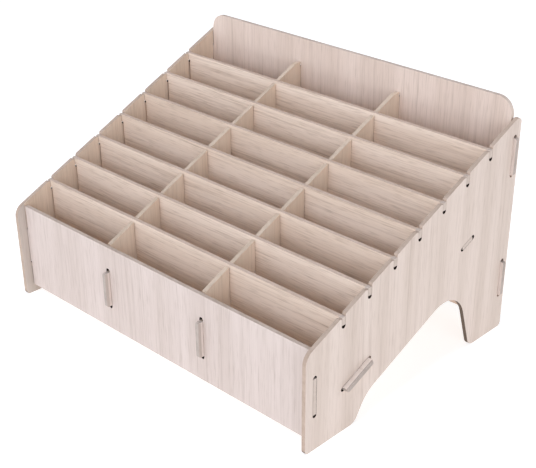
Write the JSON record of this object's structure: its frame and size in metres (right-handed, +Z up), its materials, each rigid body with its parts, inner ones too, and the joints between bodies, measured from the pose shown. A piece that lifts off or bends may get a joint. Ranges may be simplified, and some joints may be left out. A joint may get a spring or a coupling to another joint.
{
  "type": "compartment organizer",
  "caption": "Stepped desktop organizer of slotted thin boards: sloping sides, front, back, slanted floor and a grid of lift-out dividers that form upright phone compartments.",
  "frame": {"origin": "on the ground under the middle of the organizer's overall box", "axes": "+X to the right along the front panel, +Y from the front panel towards the back panel, +Z up"},
  "size_m": [0.3084, 0.2176, 0.1804],
  "materials": {
    "board": "matt pale wood-grain faces, darker cut edges"
  },
  "bodies": {
    "frame": {"side_panel_left": "board", "side_panel_right": "board", "front_panel": "board", "back_panel": "board", "bottom_panel": "board", "long_divider_left": "board", "long_divider_right": "board"},
    "cross_divider_1_body": {"cross_divider_1": "board"},
    "cross_divider_2_body": {"cross_divider_2": "board"},
    "cross_divider_3_body": {"cross_divider_3": "board"},
    "cross_divider_4_body": {"cross_divider_4": "board"},
    "cross_divider_5_body": {"cross_divider_5": "board"},
    "cross_divider_6_body": {"cross_divider_6": "board"},
    "cross_divider_7_body": {"cross_divider_7": "board"}
  },
  "joints": [
    {"name": "cross_divider_1_lift", "type": "slide", "parent": "frame", "child": "cross_divider_1_body", "axis": [0, 0, 1], "range_m": [0, 0.06]},
    {"name": "cross_divider_2_lift", "type": "slide", "parent": "frame", "child": "cross_divider_2_body", "axis": [0, 0, 1], "range_m": [0, 0.06]},
    {"name": "cross_divider_3_lift", "type": "slide", "parent": "frame", "child": "cross_divider_3_body", "axis": [0, 0, 1], "range_m": [0, 0.06]},
    {"name": "cross_divider_4_lift", "type": "slide", "parent": "frame", "child": "cross_divider_4_body", "axis": [0, 0, 1], "range_m": [0, 0.06]},
    {"name": "cross_divider_5_lift", "type": "slide", "parent": "frame", "child": "cross_divider_5_body", "axis": [0, 0, 1], "range_m": [0, 0.06]},
    {"name": "cross_divider_6_lift", "type": "slide", "parent": "frame", "child": "cross_divider_6_body", "axis": [0, 0, 1], "range_m": [0, 0.06]},
    {"name": "cross_divider_7_lift", "type": "slide", "parent": "frame", "child": "cross_divider_7_body", "axis": [0, 0, 1], "range_m": [0, 0.06]}
  ]
}
